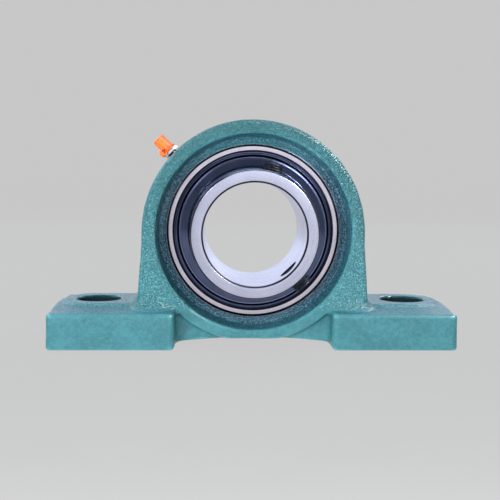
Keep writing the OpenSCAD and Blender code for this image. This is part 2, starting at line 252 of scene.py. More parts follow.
def melt(a, b, k):
    """Union of two fields that are nearly tangent, blended over k."""
    h = np.clip(0.5 + 0.5 * (b - a) / k, 0, 1)
    return b + (a - b) * h - k * h * (1 - h)


def ramp(x, low, high):
    """Smooth step from 0 at low to 1 at high."""
    t = np.clip((x - low) / (high - low), 0, 1)
    return t * t * (3 - 2 * t)


# Body: half thickness, draft over it, edge rounding, sides, and how far dome and legs overlap
FRONT_Y = 21.5
DRAFT = 1.5
EDGE_R = 2.2
SIDE_TOP_X, SIDE_LOW_X, SIDE_LOW_Z = 56.5, 58.8, 28.0
DOME_REACH, LEG_REACH, LEG_BLEND = 10, 7, 0.8

# Arch under the base, and the pocket under the ring boss with the web behind it
ARCH_HALF = 38.6
ARCH_MID_H = 4.0
ARCH_END_H = 1.6
BOSS_R = 54.4
WEB_Y = 18.0
WEB_TOP = 18.5
POCKET_HALF = ARCH_HALF + 4.5

# Feet: top, pad round each bolt slot, the skirt that rises to it, and the rounding
FOOT_H = 18.0
PAD_H = 21.0
PAD_R, PAD_FOOT_R = 16.6, 17.4
SKIRT_H, SKIRT_R = 19.8, 28.0
FOOT_CORNER_R = 3.0
FOOT_DRAFT = 0.02
TOE_FILLET, HEEL_FILLET, HEEL_FILLET_LEFT, SIDE_RELIEF = 3.2, 2.6, 1.4, 2.0
SLOT_X = BOLTS["spacing_x_mm"] / 2
SLOT_REACH = BOLTS["slot_length_mm"] / 2 - BOLTS["hole_r_mm"]

# Spherical seat, the recess outside it, its grease groove, loading slots and keyway
SEAT_HALF = 12.0
SEAT_R = OUTER_R + 0.03
FLOOR_R = 47.5
MOUTH_R = 49.0
WALL_Y = SEAT_HALF + 1
WALL_STRETCH = 1.02
GROOVE_HALF, GROOVE_R = 3.5, 46.2
LOADING_GAP, LOADING_SIDE_GAP = 0.15, 0.3
KEYWAY_HALF, KEYWAY_MIDDLE = (3.2, 9, 2), (45, 4)

# Spot face and tapped hole of the grease nipple
SPOT_R = 56.3
SPOT_FACE_R = 5.0
TAP_R, TAP_START = 3.02, 30


def body_field(ax, ay, z, r):
    """Round top, ring boss and the two legs, drafted towards both faces, with a pocket under the boss."""
    h = z - CENTRE_H
    draft = DRAFT * ay / FRONT_Y
    dome = np.maximum(r - DOME_R, -DOME_REACH - h)
    run, drop = SIDE_LOW_X - SIDE_TOP_X, CENTRE_H - SIDE_LOW_Z
    side = ((ax - SIDE_TOP_X) * drop + h * run) / math.hypot(run, drop)
    outline = melt(dome, np.maximum(side, h - LEG_REACH), LEG_BLEND) + draft
    body = meet(outline, ay - FRONT_Y, EDGE_R)
    under_boss = meet(WEB_Y - ay, BOSS_R - r + 0.3 * draft, EDGE_R)
    pocket = meet(meet(ax - POCKET_HALF, z - WEB_TOP, 3.0), under_boss, 1.6)
    return cut(body, pocket, 1.2)


def foot_field(ax, ay, z):
    """The two feet, whose tops rise in a gentle skirt to a flat pad round each bolt slot."""
    half = (BASE_HALF - ARCH_HALF) / 2
    qx = np.abs(ax - (ARCH_HALF + half)) - half + FOOT_CORNER_R
    qy = ay - FOOT_HALF_W + FOOT_CORNER_R
    outside = np.hypot(np.maximum(qx, 0), np.maximum(qy, 0))
    plan = outside + np.minimum(np.maximum(qx, qy), 0) - FOOT_CORNER_R + FOOT_DRAFT * z
    from_pad = np.hypot(np.maximum(ax - SLOT_X - SLOT_REACH, 0), ay)
    fall = (SKIRT_H - FOOT_H) / (SKIRT_R - PAD_FOOT_R)
    skirt = (z - SKIRT_H + (from_pad - PAD_FOOT_R) * fall) / math.hypot(1, fall)
    top = melt(z - FOOT_H, np.maximum(skirt, z - SKIRT_H), 0.5)
    steep = (PAD_H - SKIRT_H) / (PAD_FOOT_R - PAD_R)
    wall = (from_pad - PAD_R + (z - PAD_H) / steep) / math.hypot(1, 1 / steep)
    top = join(top, meet(wall, z - PAD_H, 0.9), 0.7)
    return meet(plan, top, 1.8)


def cut_seat(solid, x, y, h, r):
    """Cuts the recess, the seat, its groove, the rear loading slots and the stop pin's keyway."""
    ay = np.abs(y)
    slope = (MOUTH_R - FLOOR_R) / (FRONT_Y - WALL_Y)
    recess = meet(SEAT_HALF - ay, (r - FLOOR_R - (ay - WALL_Y) * slope) / WALL_STRETCH, 1.3)
    solid = cut(solid, recess, 1.5)
    seat = np.maximum(np.sqrt(r * r + y * y) - SEAT_R, ay - SEAT_HALF - 0.5)
    solid = cut(solid, seat, 0.25)
    solid = np.maximum(solid, -np.maximum(ay - GROOVE_HALF, r - GROOVE_R))
    loading = np.maximum(r - OUTER_R - LOADING_GAP, np.abs(h) - RING_HALF - LOADING_SIDE_GAP)
    loading = np.maximum(np.maximum(loading, -y), y - WALL_Y)
    solid = cut(solid, loading, 0.4)
    half_x, half_y, half_h = KEYWAY_HALF
    middle_x, middle_y = KEYWAY_MIDDLE
    keyway = np.maximum(np.abs(x - middle_x) - half_x, np.abs(y - middle_y) - half_y)
    return np.maximum(solid, -np.maximum(keyway, np.abs(h) - half_h))


def casting_field(x, y, z):
    """Signed distance to the housing, negative inside, at points in mm."""
    ax, ay, h = np.abs(x), np.abs(y), z - CENTRE_H
    r = np.hypot(x, h)
    heel = HEEL_FILLET + HEEL_FILLET_LEFT * (x < 0)
    fillet = TOE_FILLET + heel * ramp(ax, ARCH_HALF + 2, ARCH_HALF + 9)
    fillet -= SIDE_RELIEF * ramp(ax, SIDE_LOW_X - 5, SIDE_LOW_X + 2)
    solid = join(body_field(ax, ay, z, r), foot_field(ax, ay, z), fillet)

    # Underside
    rise = ARCH_MID_H - ARCH_END_H
    arch_r = (ARCH_HALF ** 2 + rise ** 2) / (2 * rise)
    arch = meet(np.hypot(x, z - ARCH_MID_H + arch_r) - arch_r, ax - ARCH_HALF - 0.8, 2.0)
    solid = cut(solid, arch, 1.2)
    solid = meet(solid, -z, 1.1)

    slot = np.hypot(np.maximum(np.abs(ax - SLOT_X) - SLOT_REACH, 0), y) - BOLTS["hole_r_mm"]
    solid = cut(solid, slot, 0.9)
    solid = cut_seat(solid, x, y, h, r)

    # Spot face and tapped hole
    n = np.array(NIPPLE_AXIS)
    s = x * n[0] + h * n[2]
    rho = np.sqrt(np.maximum(x * x + y * y + h * h - s * s, 0))
    solid = cut(solid, np.maximum(rho - SPOT_FACE_R, SPOT_R - s), 0.35)
    return np.maximum(solid, -np.maximum(rho - TAP_R, TAP_START - s))


def cast_waviness(points, seed=7, waves=40, wavelengths=(5, 16)):
    """Slow unevenness of a sand-cast surface, mostly from -1 to 1, at points in mm."""
    scale = 1.6 * math.sqrt(waves)
    rng = np.random.default_rng(seed)
    total = np.zeros(len(points))
    for _ in range(waves):
        direction = rng.normal(size=3)
        direction /= np.linalg.norm(direction)
        wavelength = rng.uniform(*wavelengths)
        total += np.sin(points @ direction * TAU / wavelength + rng.uniform(0, TAU))
    return total / scale


def field_gradient(p, step=0.02):
    """Slope of the casting's field at points in mm, by differences over twice the step."""
    columns = []
    for axis in range(3):
        shift = np.zeros(3)
        shift[axis] = step
        columns.append((casting_field(*(p + shift).T) - casting_field(*(p - shift).T)) / (2 * step))
    return np.stack(columns, 1)


def casting():
    """The housing: the field meshed on a grid, drawn onto its true surface, then made uneven."""
    cell, pull_steps, longest_pull = 0.83, 4, 0.5
    margin_low, margin_high = 1.7 * cell, 2 * cell
    wave_height, wave_sink, slot_clear = 0.07, 0.8, BOLTS["hole_r_mm"] + 2
    low = np.array([-BASE_HALF, -FOOT_HALF_W, 0]) - margin_low
    high = np.array([BASE_HALF, FOOT_HALF_W, DOME_TOP]) + margin_high
    ticks = [np.arange(a, b, cell) for a, b in zip(low, high)]
    values = np.empty([len(t) for t in ticks], np.float32)
    for i, x in enumerate(ticks[0]):
        values[i] = casting_field(*np.meshgrid([x], ticks[1], ticks[2], indexing="ij"))[0]
    grid = openvdb.FloatGrid(10.0)
    grid.copyFromArray(values)
    points, quads = grid.convertToQuads(0.0)
    points = points.astype(float) * cell + low
    for _ in range(pull_steps):
        slope = field_gradient(points)
        off = casting_field(*points.T) / np.maximum((slope ** 2).sum(1), 0.25)
        points -= np.clip(off, -longest_pull, longest_pull)[:, None] * slope
    slope = field_gradient(points)
    slope /= np.linalg.norm(slope, axis=1)[:, None]

    # The machined underside, seat and bolt slots stay smooth
    r = np.hypot(points[:, 0], points[:, 2] - CENTRE_H)
    rough = ramp(points[:, 2], 0.5, 2.5) * ramp(r, OUTER_R + 1.4, OUTER_R + 2.4)
    rough *= ramp(np.hypot(np.abs(points[:, 0]) - SLOT_X, points[:, 1]), slot_clear, slot_clear + 1)
    points += slope * ((cast_waviness(points) - wave_sink) * wave_height * rough)[:, None]
    obj = new_object("housing_casting", points * MM, quads, crease=180)
    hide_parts("housing")
    return obj


# ---- Turned pieces of the bearing ----

# Ball row and races, then seal cups, flingers and the outer ring's flat face between its bands of painted shade
BALL_R = box_mm("ball_01")[1][1]
PITCH_R = (box_mm("ball_03")[0][2] + box_mm("ball_03")[1][2]) / 2 - CENTRE_H
RACE_R = 1.04 * BALL_R
RACE_SHIFT = RACE_R - BALL_R - 0.01
LAND_R = PITCH_R + 3.9
SEAL_Y = -box_mm("seal_core_front")[1][1]
SEAL_RIM_Y = -box_mm("seal_core_front")[0][1]
SEAL_OUT_R = round(box_mm("seal_core_front")[1][0], 2)
SEAL_T = 0.7
SEAL_RIM_R = 38.0
SEAL_IN_R = 33.2
SEAT_IN_R = SEAL_OUT_R + 0.03
FLINGER_R = round(box_mm("flinger_front")[1][0], 2)
FLINGER_Y = -box_mm("flinger_front")[1][1]
COLLAR_Y = -box_mm("flinger_front")[0][1]
FACE_R = 42.75


def outer_ring():
    """Ring with a spherical outside, one race, two grease holes and the hole for the stop pin."""
    edge_r = math.sqrt(OUTER_R ** 2 - RING_HALF ** 2)
    drop_y = RING_HALF - 0.9
    drop_r = math.sqrt(OUTER_R ** 2 - drop_y ** 2)
    race_c = PITCH_R - RACE_SHIFT
    race_edge = math.degrees(math.acos((LAND_R - race_c) / RACE_R))
    sphere_edge = math.degrees(math.asin(drop_y / OUTER_R))
    front = [(drop_r, drop_y, 0.15), (edge_r + 0.25, drop_y, 0.2), (FACE_R, RING_HALF, 0.3),
             (SEAT_IN_R + 0.6, RING_HALF, 0.2), (SEAT_IN_R, RING_HALF - 0.6, 0.2),
             (SEAT_IN_R, SEAL_Y - 0.05, 0), (LAND_R, SEAL_Y - 0.05, 0.2)]
    outline = arc((0, 0), OUTER_R, -sphere_edge + 1, sphere_edge - 1, 24)
    outline += front
    outline += arc((race_c, 0), RACE_R, race_edge, -race_edge, 24)
    outline += mirror_front(front)[::-1]
    ring = lathe("outer_ring_ground", rounded(outline), segments=320)
    cutters = []
    grease_r, inward, outward_by, offset, tilt = 1, 11, 3, 1.4, 48
    for angle, side in ((60, 1), (240, -1)):
        place = SHAFT @ Matrix.Rotation(math.radians(angle), 4, "Z")
        place = place @ Matrix.Translation((OUTER_R, 0, offset * side))
        place = place @ Matrix.Rotation(math.radians(-tilt * side), 4, "Y")
        outline = [(grease_r, -inward * side), (grease_r, outward_by * side)]
        cutters.append(lathe("hole", outline, place, 32, closed=False))
    pin = box_mm("stop_pin")
    pin_r = (pin[1][1] - pin[0][1]) / 2 + 0.01
    outline = [(pin_r, pin[0][0]), (pin_r, OUTER_R + 1)]
    cutters.append(lathe("hole", outline, along(Vector((1, 0, 0))), 48, closed=False))
    drill(ring, *cutters)
    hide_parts("outer_ring")
    return ring


def inner_ring():
    """Ring with one race, chamfered ends and two tapped holes for the set screws."""
    race_c = PITCH_R + RACE_SHIFT
    race_edge = math.degrees(math.acos((race_c - INNER_R) / RACE_R))
    chamfer = 0.9
    outline = [(INNER_R, -INNER_REAR + chamfer, 0.3), (INNER_R - chamfer, -INNER_REAR, 0.3),
               (BORE_R + chamfer, -INNER_REAR, 0.15), (BORE_R, -INNER_REAR + chamfer, 0.15),
               (BORE_R, INNER_FRONT - chamfer, 0.15), (BORE_R + chamfer, INNER_FRONT, 0.15),
               (INNER_R - chamfer, INNER_FRONT, 0.3), (INNER_R, INNER_FRONT - chamfer, 0.3),
               (INNER_R, SCREW_FRONT, 0)]
    outline += arc((race_c, 0), RACE_R, 180 - race_edge, 180 + race_edge, 24)
    ring = lathe("inner_ring_ground", rounded(outline), segments=320)
    cutters = []
    screw_r = 5.0
    inside, outside = BORE_R - 3, INNER_R + 1.5
    for axis in SCREW_AXES.values():
        outline = [(screw_r + 2.6, inside), (screw_r, BORE_R - 0.2),
                   (screw_r, INNER_R - 0.75), (screw_r + 2.2, outside)]
        cutters.append(lathe("hole", outline, along(axis, SCREW_FRONT), 96, closed=False))
    drill(ring, *cutters)
    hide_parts("inner_ring")
    return ring


def seal_cup(side, flip):
    """Pressed steel cup with a small groove round its outer bead."""
    bead = SEAL_OUT_R - 0.7
    outline = [(SEAL_IN_R, SEAL_Y, 0.1), (SEAL_OUT_R, SEAL_Y, 0.2), (SEAL_OUT_R, SEAL_Y + 0.5, 0.15),
               (bead, SEAL_Y + 0.5, 0.1), (bead, SEAL_RIM_Y - 0.25, 0.3),
               (bead - 0.75, SEAL_RIM_Y - 0.13, 0.15), (bead - 0.9, SEAL_RIM_Y - 0.4, 0.1),
               (bead - 1.05, SEAL_RIM_Y - 0.07, 0.15), (SEAL_RIM_R + 0.45, SEAL_RIM_Y, 0.2),
               (SEAL_RIM_R + 0.1, SEAL_RIM_Y - 0.5, 0.2), (SEAL_RIM_R, SEAL_Y + SEAL_T, 0.2),
               (SEAL_IN_R, SEAL_Y + SEAL_T, 0.1)]
    core = lathe("seal_cup_" + side, rounded(flip(outline)))
    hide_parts("seal_core_" + side)
    return core


def seal_lip(side, flip):
    """Rubber lip between the cup and the inner ring."""
    lip_r, root_r = INNER_R + 0.05, SEAL_IN_R - 0.01
    outline = [(lip_r, SEAL_Y + 0.3, 0.1), (lip_r + 0.35, SEAL_Y, 0.12), (root_r, SEAL_Y, 0.05),
               (root_r, SEAL_Y + SEAL_T, 0.05), (lip_r + 0.9, SEAL_Y + SEAL_T, 0.15),
               (lip_r, SEAL_Y + 0.6, 0.1)]
    lip = lathe("seal_lip_moulded_" + side, rounded(flip(outline)))
    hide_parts("seal_lip_" + side)
    return lip


def flinger(side, flip):
    """Pressed disc with a rolled rim, dished up to a collar that grips the inner ring."""
    grip, sheet = INNER_R + 0.01, 0.8
    collar_r = grip + sheet
    top = FLINGER_Y + sheet
    outline = [(grip, FLINGER_Y, 0.1), (FLINGER_R - 2.6, FLINGER_Y, 0.6),
               (FLINGER_R - 1.2, FLINGER_Y + 0.15, 0.4), (FLINGER_R, FLINGER_Y + 0.45, 0.12),
               (FLINGER_R, top, 0.2), (FLINGER_R - 0.5, top + 0.45, 0.3),
               (FLINGER_R - 1.3, top + 0.05, 0.3), (collar_r + 1.0, top + 1.05, 0.8),
               (collar_r, top + 1.7, 0.5), (collar_r, COLLAR_Y, 0.3), (grip, COLLAR_Y, 0.15)]
    plate = lathe("flinger_pressed_" + side, rounded(flip(outline), steps=5))
    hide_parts("flinger_" + side)
    return plate


def hexagon(angles, flats):
    """Radius of a hexagon of that size across its flats, at each angle."""
    sector = (angles + math.pi / 6) % (math.pi / 3) - math.pi / 6
    return flats / 2 / np.cos(sector)


def ring_row(radius, height, angles):
    """One ring of points round +Z, whose radius and height may change with the angle."""
    radius = np.broadcast_to(radius, angles.shape)
    height = np.broadcast_to(height, angles.shape)
    return np.stack([radius * np.cos(angles), radius * np.sin(angles), height], 1)


def set_screw(name, axis):
    """Threaded hexagon-socket screw with a knurled cup point."""
    angles = np.linspace(0, TAU, 144, endpoint=False)
    extent = (np.array(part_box(name)[0]) + np.array(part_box(name)[1])) / 2 / MM
    middle = math.hypot(extent[0], extent[2] - CENTRE_H)
    length, pitch, major, depth, socket_flats = 10.0, 1.25, 4.96, 0.62, 5.0
    knurls, knurl_depth, end_slope = 12, 0.16, 1.1
    low, top = middle - length / 2, middle + length / 2
    knurl = knurl_depth * np.abs(np.sin(knurls * angles))
    point = [(AXIS_R, low + 1.3), (1.6, low + 1.1), (2.55, low + 0.25), (2.85, low + knurl),
             (3.25, low + 0.9 * knurl), (3.6, low + 0.35 + 0.5 * knurl)]
    thread = []
    for height in np.arange(low + 0.9, top - 0.3, pitch / 10):
        phase = (height / pitch - angles / TAU) % 1
        groove = depth * np.clip(1.15 * np.abs(2 * phase - 1) - 0.08, 0, 1)
        lead = 4.05 + (height - low - 0.9) * end_slope
        away = 4.15 + (top - 0.15 - height) * end_slope
        thread.append((np.minimum(major - groove, min(lead, away)), height))
    socket = hexagon(angles, socket_flats)
    head = [(4.1, top - 0.12), (3.95, top), (socket + 0.35, top), (socket, top - 0.3),
            (socket, top - 4.4), (socket - 0.15, top - 4.5), (AXIS_R, top - 5.2)]
    rows = [ring_row(radius, height, angles) for radius, height in point + thread + head]
    screw = skin(name + "_threaded", rows, along(axis, SCREW_FRONT), closed=False, crease=32)
    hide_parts(name)
    return screw


# ---- Grease nipple ----

NIPPLE = along(NIPPLE_AXIS)
SPRING_SEAT_H = 56.5
HEX_LOW, HEX_TOP, HEX_FLATS = 57.0, 58.9, 7.0
CAP_LOW, CAP_TOP = 59.6, 67.3
CAP_R, CAP_RIM_R, CAP_BORE_R = 3.35, 3.95, 2.8
NECK_R = 2.3


def nipple_body():
    """Hexagon with chamfered corners, thread, waisted neck and conical head, with its duct."""
    angles = np.linspace(0, TAU, 144, endpoint=False)
    low, pitch, relief_r = 49.6, 1.0, 2.4
    corner, chamfer_slope, blunt = 3.45, 1.3, 0.12
    profile = [(0.7, low), (2.3, low), (2.6, low + 0.4)]
    for height in np.arange(low + 0.5, HEX_LOW - 0.7, pitch / 8):
        phase = (height / pitch - angles / TAU) % 1
        profile.append((2.96 - 0.55 * np.abs(2 * phase - 1), height))
    profile += [(relief_r, HEX_LOW - 0.5), (relief_r, HEX_LOW - 0.02)]
    flats = hexagon(angles, HEX_FLATS)
    for height in (HEX_LOW, HEX_LOW + 0.2, HEX_LOW + 0.45,
                   HEX_TOP - 0.55, HEX_TOP - 0.3, HEX_TOP - 0.1, HEX_TOP):
        to_end = min(height - HEX_LOW, HEX_TOP - height)
        side = flats - blunt * max(0, 1 - to_end / blunt)
        profile.append((np.minimum(side, corner + to_end * chamfer_slope), height))
    profile += [(NECK_R + 0.35, HEX_TOP), (NECK_R + 0.05, HEX_TOP + 0.1), (NECK_R, HEX_TOP + 0.2),
                (NECK_R, 60.0), (2.5, 60.25), (2.66, 60.4), (2.7, 60.6), (2.7, 62.15), (2.64, 62.35),
                (1.62, 64.05), (1.42, 64.2), (0.75, 64.2), (0.6, 64.1), (0.6, 63.6), (1.1, 62.9),
                (1.1, SPRING_SEAT_H), (0.7, SPRING_SEAT_H - 0.1)]
    rows = [ring_row(radius, height, angles) for radius, height in profile]
    body = skin("nipple_turned", rows, NIPPLE, closed=True, crease=32)
    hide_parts("nipple_body")
    return body


def nipple_spring():
    """Compression spring with closed ends, from its seat to the valve ball.

    Returned with the point it is squashed towards, and the share of its length left at full press.
    """
    low_corner, high_corner = box_mm("nipple_valve_ball")
    ball_r = (high_corner[1] - low_corner[1]) / 2
    middle = (low_corner + high_corner) / 2
    ball_h = math.hypot(middle[0], middle[2] - CENTRE_H)
    wire_r, coil_r, turns, steps, sides = 0.15, 0.75, 7, 20, 8
    low = SPRING_SEAT_H + wire_r + 0.05
    high = ball_h - math.sqrt((ball_r + wire_r) ** 2 - coil_r ** 2)
    closed_coil = 2 * wire_r + 0.01
    open_length = high - low - 2 * closed_coil
    around = np.linspace(0, TAU, sides, endpoint=False)
    rows = []
    for turn in np.arange(turns * steps + 1) / steps:
        in_open = min(max(turn - 1, 0), turns - 2) / (turns - 2)
        in_closed = min(turn, 1) + max(turn - turns + 1, 0)
        height = low + closed_coil * in_closed + open_length * in_open
        radius = coil_r + wire_r * np.cos(around)
        rows.append(np.stack([radius * math.cos(TAU * turn), radius * math.sin(TAU * turn),
                              height + wire_r * np.sin(around)], 1))
    spring = skin("nipple_spring_coil", rows, NIPPLE, closed=False, crease=60)
    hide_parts("nipple_spring")
    travel = joints["valve_press"]["range_m"][1] / MM
    anchor = Vector((0, 0, CENTRE_H * MM)) + NIPPLE_AXIS * SPRING_SEAT_H * MM
    return spring, anchor, 1 - travel / (high - SPRING_SEAT_H)


def dust_cap():
    """Round cap with a rolled rim, a shallow dimple in its top and a bore that grips the nipple."""
    roof, dimple = 1, 0.25
    outline = [(AXIS_R, CAP_TOP - roof, 0), (CAP_BORE_R, CAP_TOP - roof, 0.4), (CAP_BORE_R, CAP_LOW, 0.1),
               (CAP_RIM_R, CAP_LOW, 0.25), (CAP_RIM_R, CAP_LOW + 0.5, 0.25), (CAP_R, CAP_LOW + 0.85, 0.3),
               (CAP_R - 0.08, CAP_TOP, 0.75), (1.1, CAP_TOP, 0.15), (0.9, CAP_TOP - dimple, 0.1),
               (AXIS_R, CAP_TOP - dimple, 0)]
    cap = lathe("dust_cap_moulded", rounded(outline, steps=6), NIPPLE, 128, closed=False)
    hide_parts("nipple_cap")
    return cap


def cap_strap():
    """Ring round the nipple neck and a bent band, swept as one rounded section up to the cap."""
    ring_low, ring_top, ring_out, hole = 58.93, 59.53, 3.75, NECK_R + 0.06
    ring = lathe("strap_ring", rounded([(hole, ring_low, 0.1), (ring_out, ring_low, 0.2),
                                        (ring_out, ring_top, 0.2), (hole, ring_top, 0.1)]), NIPPLE, 96)
    bend_x, bend_z, bend_r, thick, wide = 6.1, 60.1, 1.75, 1.0, 1.9
    turned_to = math.radians(150)

    # Each stop of the path is a point, the way inwards there, and the band's share of its thickness
    angles = np.linspace(math.radians(208), math.radians(502), 48)
    bend = [(bend_x + bend_r * math.cos(a), bend_z + bend_r * math.sin(a)) for a in angles]
    inwards = [(-math.cos(a), -math.sin(a)) for a in angles]
    (root_x, root_z), (tab_x, tab_z) = bend[0], bend[-1]
    path = [((2.9, (ring_low + ring_top) / 2), (0, 1), 0.6),
            ((root_x - 0.5, root_z + 0.03), (-0.3, 1), 0.7)]
    path += [(point, inward, 1) for point, inward in zip(bend, inwards)]
    path += [((tab_x - 0.35, tab_z - 0.1), (0.2, -1), 0.8), ((CAP_R + 0.03, tab_z - 0.1), (0, -1), 0.75)]
    section = rounded([(-thick / 2, -wide / 2, 0.35), (thick / 2, -wide / 2, 0.35),
                       (thick / 2, wide / 2, 0.35), (-thick / 2, wide / 2, 0.35)])
    rows = []
    for (px, pz), inward, scale in path:
        inward = np.array(inward, float) / math.hypot(*inward) * scale
        rows.append([(px - s * inward[0], w, pz - s * inward[1]) for s, w in section])
    band = skin("strap_band", rows, NIPPLE @ Matrix.Rotation(turned_to, 4, "Z"), closed=False)
    bpy.ops.object.select_all(action="DESELECT")
    for piece in (ring, band):
        piece.select_set(True)
    bpy.context.view_layer.objects.active = band
    bpy.ops.object.join()
    band.name = "dust_cap_strap"
    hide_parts("cap_strap")
    return band


# ---- Materials ----

class Recipe:
    """A procedural material under construction, with short calls to add and link nodes."""

    def __init__(self, name, **constants):
        self.material = bpy.data.materials.new(name + "_look")
        self.material["slot"] = name
        self.material.use_nodes = True
        self.tree = self.material.node_tree
        self.tree.nodes.clear()
        self.shader = self.tree.nodes.new("ShaderNodeBsdfPrincipled")
        self.output = self.tree.nodes.new("ShaderNodeOutputMaterial")
        self.tree.links.new(self.shader.outputs["BSDF"], self.output.inputs["Surface"])
        self.coords = self.tree.nodes.new("ShaderNodeTexCoord").outputs["Object"]
        for key, value in constants.items():
            self.shader.inputs[key.replace("_", " ")].default_value = value

    def put(self, socket, value):
        if hasattr(value, "is_linked"):
            self.tree.links.new(value, socket)
        elif value is not None:
            socket.default_value = value

    def math(self, operation, a, b=None, c=None):
        node = self.tree.nodes.new("ShaderNodeMath")
        node.operation = operation
        for socket, value in zip(node.inputs, (a, b, c)):
            self.put(socket, value)
        return node.outputs[0]

    def times(self, a, b):
        return self.math("MULTIPLY", a, b)

    def plus(self, a, b):
        return self.math("ADD", a, b)

    def length(self, a, b):
        """Length of the vector (a, b)."""
        return self.math("SQRT", self.plus(self.times(a, a), self.times(b, b)))

    def noise(self, scale, detail=2.0, rough=0.5, vector=None, stretch=None):
        node = self.tree.nodes.new("ShaderNodeTexNoise")
        node.inputs["Scale"].default_value = scale
        node.inputs["Detail"].default_value = detail
        node.inputs["Roughness"].default_value = rough
        vector = vector or self.coords
        if stretch:
            mapping = self.tree.nodes.new("ShaderNodeMapping")
            mapping.inputs["Scale"].default_value = stretch
            self.put(mapping.inputs["Vector"], vector)
            vector = mapping.outputs[0]
        self.put(node.inputs["Vector"], vector)
        return node.outputs["Fac"]

    def cells(self, scale):
        node = self.tree.nodes.new("ShaderNodeTexVoronoi")
        node.inputs["Scale"].default_value = scale
        self.put(node.inputs["Vector"], self.coords)
        return node.outputs["Distance"]

    def step(self, value, low, high, to_low=0.0, to_high=1.0):
        node = self.tree.nodes.new("ShaderNodeMapRange")
        node.interpolation_type = "SMOOTHSTEP"
        for name, v in (("Value", value), ("From Min", low), ("From Max", high),
                        ("To Min", to_low), ("To Max", to_high)):
            self.put(node.inputs[name], v)
        return node.outputs["Result"]

    def mix(self, factor, a, b):
        node = self.tree.nodes.new("ShaderNodeMix")
        node.data_type = "RGBA"
        self.put(node.inputs["Factor"], factor)
        for socket, value in (("A", a), ("B", b)):
            target = [s for s in node.inputs if s.name == socket and s.type == "RGBA"][0]
            self.put(target, (*value, 1) if isinstance(value, tuple) else value)
        return [s for s in node.outputs if s.type == "RGBA"][0]

    def axes(self):
        node = self.tree.nodes.new("ShaderNodeSeparateXYZ")
        self.put(node.inputs[0], self.coords)
        return node.outputs

    def shaft_radius(self):
        """Distance from the shaft's centre line, in mm."""
        x, _, z = self.axes()
        h = self.math("SUBTRACT", z, CENTRE_H * MM)
        return self.math("DIVIDE", self.length(x, h), MM)

    def combine(self, x, y, z):
        node = self.tree.nodes.new("ShaderNodeCombineXYZ")
        for socket, value in zip(node.inputs, (x, y, z)):
            self.put(socket, value)
        return node.outputs[0]

    def pointiness(self):
        return self.tree.nodes.new("ShaderNodeNewGeometry").outputs["Pointiness"]

    def facing(self):
        """The three parts of the surface's own direction."""
        node = self.tree.nodes.new("ShaderNodeSeparateXYZ")
        self.put(node.inputs[0], self.tree.nodes.new("ShaderNodeNewGeometry").outputs["True Normal"])
        return node.outputs

    def bump(self, height, distance):
        node = self.tree.nodes.new("ShaderNodeBump")
        node.inputs["Distance"].default_value = distance
        node.inputs["Strength"].default_value = 1.0
        self.put(node.inputs["Height"], height)
        return node.outputs[0]

    def finish(self, color=None, roughness=None, normal=None, metallic=None):
        for name, value in (("Base Color", color), ("Roughness", roughness), ("Normal", normal),
                            ("Metallic", metallic)):
            if value is not None:
                self.put(self.shader.inputs[name], (*value, 1) if isinstance(value, tuple) else value)
        return self.material


# Enamel colours: the ground, painted light and shade (edges partly worn too), and painted shade where less paint
# reached
ENAMEL_DARK, ENAMEL_LIGHT = (0.021, 0.102, 0.121), (0.034, 0.142, 0.168)
ENAMEL_LEGS_LIT, ENAMEL_PAD_REFLECTION, ENAMEL_TOP_SHADE = (0.050, 0.190, 0.225), (0.075, 0.26, 0.38), (0.013, 0.080, 0.092)
ENAMEL_GLINT, ENAMEL_EDGE_WEAR_AND_HIGHLIGHT = (0.15, 0.42, 0.46), (0.14, 0.40, 0.43)
ENAMEL_HOLLOW, ENAMEL_PIT = (0.008, 0.060, 0.068), (0.008, 0.055, 0.066)
ENAMEL_CORNER_SHADE, ENAMEL_SLOT = (0.008, 0.045, 0.052), (0.002, 0.012, 0.016)
THIN_SHADE_DARK, THIN_SHADE_LIGHT = (0.006, 0.042, 0.058), (0.050, 0.170, 0.215)
NAVY_SHADE_DARK, NAVY_SHADE_LIGHT = (0.003, 0.011, 0.026), (0.060, 0.165, 0.230)
IRON_DARK, IRON_LIGHT = (0.30, 0.30, 0.31), (0.42, 0.42, 0.43)


def casting_zones(m):
    """Masks from 0 to 1 for the stretches of the casting: its places in metres, or mm where named so."""
    radius = m.shaft_radius()
    x, y, z = m.axes()
    x_mm = m.math("DIVIDE", m.math("ABSOLUTE", x), MM)
    y_mm = m.math("DIVIDE", m.math("ABSOLUTE", y), MM)
    from_middle = m.length(radius, y_mm)
    along_slot = m.math("ABSOLUTE", m.math("SUBTRACT", x_mm, SLOT_X))
    from_slot = m.length(m.math("MAXIMUM", m.math("SUBTRACT", along_slot, SLOT_REACH), 0.0), y_mm)
    seat = m.times(m.step(from_middle, OUTER_R + 0.25, OUTER_R + 0.4, 1, 0),
                   m.step(y_mm, SEAT_HALF, SEAT_HALF + 0.2, 1, 0))
    above_foot = m.step(z, 0.0165, 0.022)
    return {
        "bare": m.math("MAXIMUM", seat, m.step(z, 0.00002, 0.00008, 1, 0)),
        "above_foot": above_foot,
        # Masks for painted light: the upward pad faces, the lit legs, glints low down, the shaded top
        "up": m.times(m.step(m.facing()[2], 0.8, 0.98), m.step(z, 0.024, 0.030, 1, 0)),
        "pad": m.step(z, 0.0196, 0.0206, 0.2, 0.6),
        "legs": m.times(above_foot, m.step(z, 0.03, 0.07, 1, 0)),
        "low_down": m.step(z, 0.045, 0.095, 1.0, 0.15),
        "top": m.step(z, 0.098, 0.111, 0, 0.45),
        # Where painted shade goes: the recess, and darker still next to the ring
        "recess": m.times(m.step(radius, MOUTH_R - 0.5, MOUTH_R + 0.2, 1, 0),
                          m.step(y_mm, FRONT_Y - 2.2, FRONT_Y - 0.9, 1, 0)),
        "beside_ring": m.times(m.step(radius, OUTER_R + 0.8, FLOOR_R + 1.4, 0.92, 0),
                               m.step(z, 0.082, 0.100, 1, 0)),
        "slot": m.step(from_slot, BOLTS["hole_r_mm"] + 0.1, BOLTS["hole_r_mm"] + 0.5, 1, 0),
    }


